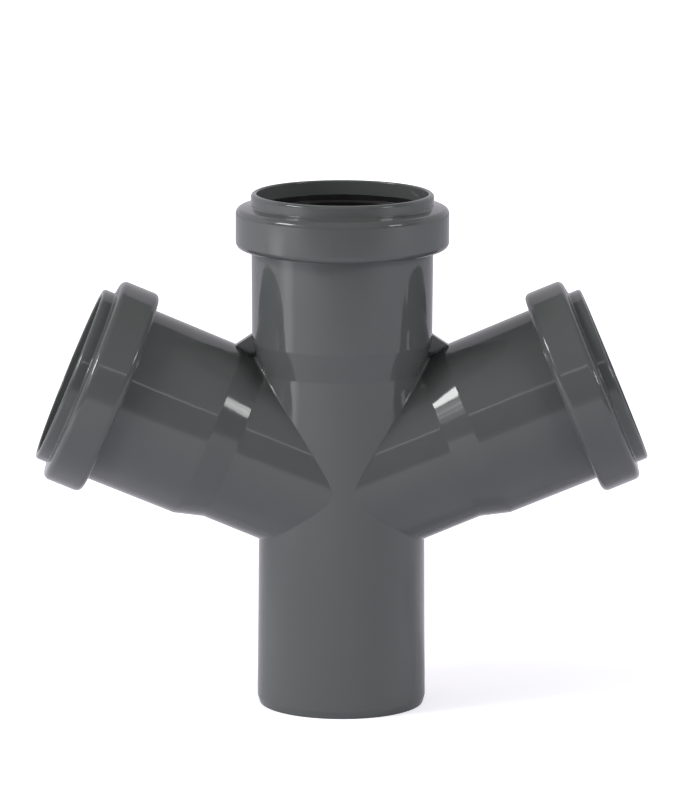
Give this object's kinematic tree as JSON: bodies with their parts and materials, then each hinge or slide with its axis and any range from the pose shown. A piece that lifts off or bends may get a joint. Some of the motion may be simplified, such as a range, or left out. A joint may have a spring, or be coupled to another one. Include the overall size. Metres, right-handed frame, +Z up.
{
  "type": "double branch fitting",
  "caption": "Grey plastic double branch pipe fitting: a straight run with a plain spigot and a socket, and opposite branches with sockets, each holding a rubber seal.",
  "frame": {"origin": "centre of the spigot's end, on the surface that the fitting stands on", "axes": "+Z up the run towards the top socket, +X towards the right branch, in the plane of the branches"},
  "size_m": [0.183, 0.0636, 0.1545],
  "materials": {
    "body": "gloss",
    "seal": "satin"
  },
  "bodies": {
    "root": {"body": "body", "seal_ring_top": "seal", "seal_ring_left": "seal", "seal_ring_right": "seal"}
  },
  "joints": []
}
